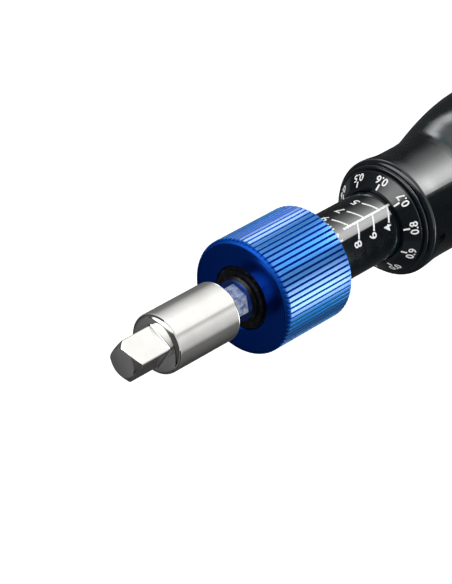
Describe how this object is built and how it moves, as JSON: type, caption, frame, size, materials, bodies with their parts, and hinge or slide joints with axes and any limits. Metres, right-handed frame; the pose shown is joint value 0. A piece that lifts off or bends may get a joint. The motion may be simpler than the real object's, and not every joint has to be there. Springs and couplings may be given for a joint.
{
  "type": "torque screwdriver",
  "caption": "Adjustable torque screwdriver: micrometer thimble and scale, slipping ball clutch, quick-release collar and square drive adapter.",
  "frame": {"origin": "centre of the handle's flat end face", "axes": "+Z along the tool's axis, from the handle's end to the square drive; +X towards the side that the picture looks at"},
  "size_m": [0.033, 0.034, 0.1713],
  "materials": {
    "chrome": "mirror chrome plate",
    "blue_anodised": "blue anodised, satin",
    "black_anodised": "black anodised, gloss",
    "grip_black": "matte black",
    "black_steel": "black oxide",
    "ground_steel": "ground steel",
    "spring_steel": "spring steel",
    "bronze": "bearing bronze",
    "brass": "machined brass",
    "rubber": "rubber"
  },
  "bodies": {
    "handle": {"grip": "grip_black", "end_cap": "black_anodised", "thimble_sleeve": "black_anodised", "dial_ring": "black_anodised", "handle_core": "ground_steel", "calibration_screw": "ground_steel", "calibration_locknut": "ground_steel", "pivot_ball": "ground_steel", "setting_lock_screw": "black_steel", "lock_pad": "brass", "dial_set_screw_1": "black_steel", "dial_set_screw_2": "black_steel", "wiper_ring": "rubber"},
    "follower": {"spring_follower": "ground_steel"},
    "barrel": {"barrel": "black_anodised", "spindle_bush": "bronze", "thrust_washer": "ground_steel", "travel_stop_ring": "spring_steel", "torque_spring": "spring_steel"},
    "pressure_plate": {"pressure_plate": "ground_steel", "clutch_ball_1": "ground_steel", "clutch_ball_2": "ground_steel", "clutch_ball_3": "ground_steel", "clutch_ball_4": "ground_steel", "clutch_ball_5": "ground_steel", "clutch_ball_6": "ground_steel"},
    "spindle": {"output_spindle": "black_steel", "cam_plate": "ground_steel", "spindle_tail_ring": "spring_steel", "collar_rest_ring": "spring_steel", "collar_spring": "spring_steel", "front_washer": "black_steel", "nose_ring": "black_steel", "drive_adapter": "chrome"},
    "collar": {"release_collar": "blue_anodised"},
    "lock_ball_1": {"lock_ball_1": "ground_steel"},
    "lock_ball_2": {"lock_ball_2": "ground_steel"},
    "detent": {"detent_ball": "ground_steel", "detent_spring": "spring_steel"}
  },
  "joints": [
    {"name": "handle_turn", "type": "hinge", "parent": "handle", "child": "follower", "pos_m": [0, 0, 0.05], "axis": [0, 0, -1], "range_deg": [-973, 1909]},
    {"name": "setting_travel", "type": "slide", "parent": "follower", "child": "barrel", "axis": [0, 0, -1], "range_m": [-0.00648, 0.01272], "deforming": ["torque_spring"]},
    {"name": "plate_lift", "type": "slide", "parent": "barrel", "child": "pressure_plate", "axis": [0, 0, -1], "range_m": [0, 0.0006], "stiffness_N_per_m": 5000, "springref_m": -0.003},
    {"name": "clutch_slip", "type": "hinge", "parent": "barrel", "child": "spindle", "pos_m": [0, 0, 0.12], "axis": [0, 0, 1], "continuous": true},
    {"name": "collar_slide", "type": "slide", "parent": "spindle", "child": "collar", "axis": [0, 0, 1], "range_m": [0, 0.003], "stiffness_N_per_m": 1000, "springref_m": -0.003, "deforming": ["collar_spring"]},
    {"name": "lock_ball_1_out", "type": "slide", "parent": "spindle", "child": "lock_ball_1", "axis": [0.866, 0.5, 0], "range_m": [0, 0.00081]},
    {"name": "lock_ball_2_out", "type": "slide", "parent": "spindle", "child": "lock_ball_2", "axis": [-0.866, -0.5, 0], "range_m": [0, 0.00081]},
    {"name": "detent_press", "type": "slide", "parent": "spindle", "child": "detent", "axis": [0.9573, 0.289, 0], "range_m": [0, 0.0004], "stiffness_N_per_m": 500, "springref_m": -0.002}
  ],
  "couplings": [
    {"joint": "handle_turn", "follows": "setting_travel", "rad_per_m": 2618},
    {"joint": "lock_ball_1_out", "follows": "collar_slide", "ratio": 0.26667},
    {"joint": "lock_ball_2_out", "follows": "collar_slide", "ratio": 0.26667}
  ]
}
